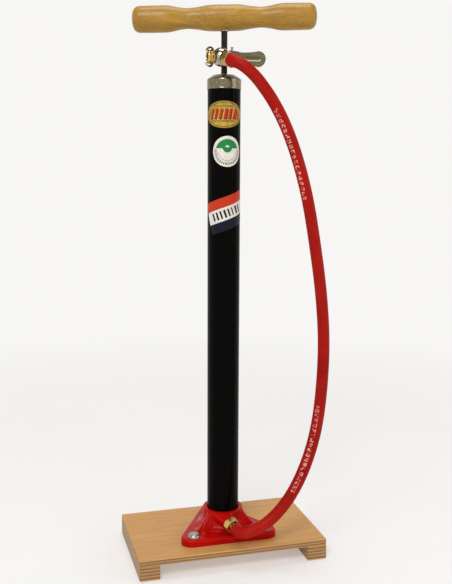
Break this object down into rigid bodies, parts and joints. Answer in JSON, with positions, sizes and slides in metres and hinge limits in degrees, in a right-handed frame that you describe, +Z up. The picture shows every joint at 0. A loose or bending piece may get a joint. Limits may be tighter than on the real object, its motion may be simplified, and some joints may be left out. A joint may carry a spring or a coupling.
{
  "type": "floor bike pump",
  "caption": "Floor bicycle pump: tall barrel on a cast foot and small wooden board, turned T-handle, rubber hose, lever-lock head.",
  "frame": {"origin": "centre of the footprint on the ground, under the middle of the board", "axes": "+Z up along the barrel; +X along the board's length, to the side the lever points; -Y is the front, where the labels and the hose outlet are"},
  "size_m": [0.21, 0.1325, 0.6009],
  "materials": {
    "plywood": "satin varnished birch plywood",
    "batten_wood": "sanded layered wood",
    "handle_wood": "gloss lacquered turned hardwood",
    "red_enamel": "gloss enamel on cast iron",
    "black_enamel": "gloss enamel on steel tube",
    "zinc_steel": "zinc plated steel",
    "dark_steel": "oiled dark steel",
    "bolt_steel": "bright plated steel",
    "brass": "machined brass",
    "red_rubber": "matt red rubber",
    "black_rubber": "black rubber",
    "leather": "oiled leather",
    "felt": "pressed wool felt",
    "gold_foil": "printed gold foil label",
    "label_white": "printed paper label, gloss film",
    "label_stripe": "printed tri-band label, gloss film"
  },
  "bodies": {
    "stand": {"base_board": "plywood", "left_batten": "batten_wood", "right_batten": "batten_wood", "batten_screws": "zinc_steel", "foot_casting": "red_enamel", "foot_bolts": "bolt_steel", "foot_washers": "zinc_steel", "foot_nuts": "zinc_steel", "barrel": "black_enamel", "barrel_gasket": "black_rubber", "valve_seat": "brass", "check_spring": "dark_steel", "top_cap": "zinc_steel", "guide_bush": "brass", "wiper_felt": "felt", "outlet_washer": "brass", "outlet_nut": "brass", "outlet_tail": "brass", "hose": "red_rubber", "head_body": "zinc_steel", "mouth_cap": "brass", "mouth_claws": "dark_steel", "mouth_seal": "black_rubber", "head_tail": "brass", "oval_label": "gold_foil", "round_label": "label_white", "stripe_label": "label_stripe"},
    "plunger": {"cup_washer": "zinc_steel", "leather_cup": "leather", "plunger_plate": "zinc_steel", "top_buffer": "black_rubber"},
    "rod": {"piston_rod": "dark_steel", "rod_nut": "zinc_steel", "handle": "handle_wood", "handle_insert": "zinc_steel"},
    "lever": {"lever": "zinc_steel", "lever_cam": "dark_steel", "lever_pin": "bolt_steel"},
    "seal_pusher": {"seal_pusher": "brass"},
    "check_valve": {"check_ball": "bolt_steel"}
  },
  "joints": [
    {"name": "plunger_slide", "type": "slide", "parent": "stand", "child": "plunger", "axis": [0, 0, 1], "range_m": [0, 0.44]},
    {"name": "handle_turn", "type": "hinge", "parent": "plunger", "child": "rod", "pos_m": [0, -0.008, 0.586], "axis": [0, 0, 1], "continuous": true},
    {"name": "lever_swing", "type": "hinge", "parent": "stand", "child": "lever", "pos_m": [0.0039, -0.0215, 0.544], "axis": [0, -0.2588, 0.9659], "range_deg": [0, 90]},
    {"name": "seal_press", "type": "slide", "parent": "stand", "child": "seal_pusher", "axis": [-1, 0, 0], "range_m": [0, 0.0012]},
    {"name": "check_lift", "type": "slide", "parent": "stand", "child": "check_valve", "axis": [0, 0, -1], "range_m": [0, 0.0012], "stiffness_N_per_m": 60, "springref_m": -0.003, "deforming": ["check_spring"]}
  ],
  "couplings": [
    {"joint": "seal_press", "follows": "lever_swing", "m_per_rad": 0.00076}
  ]
}
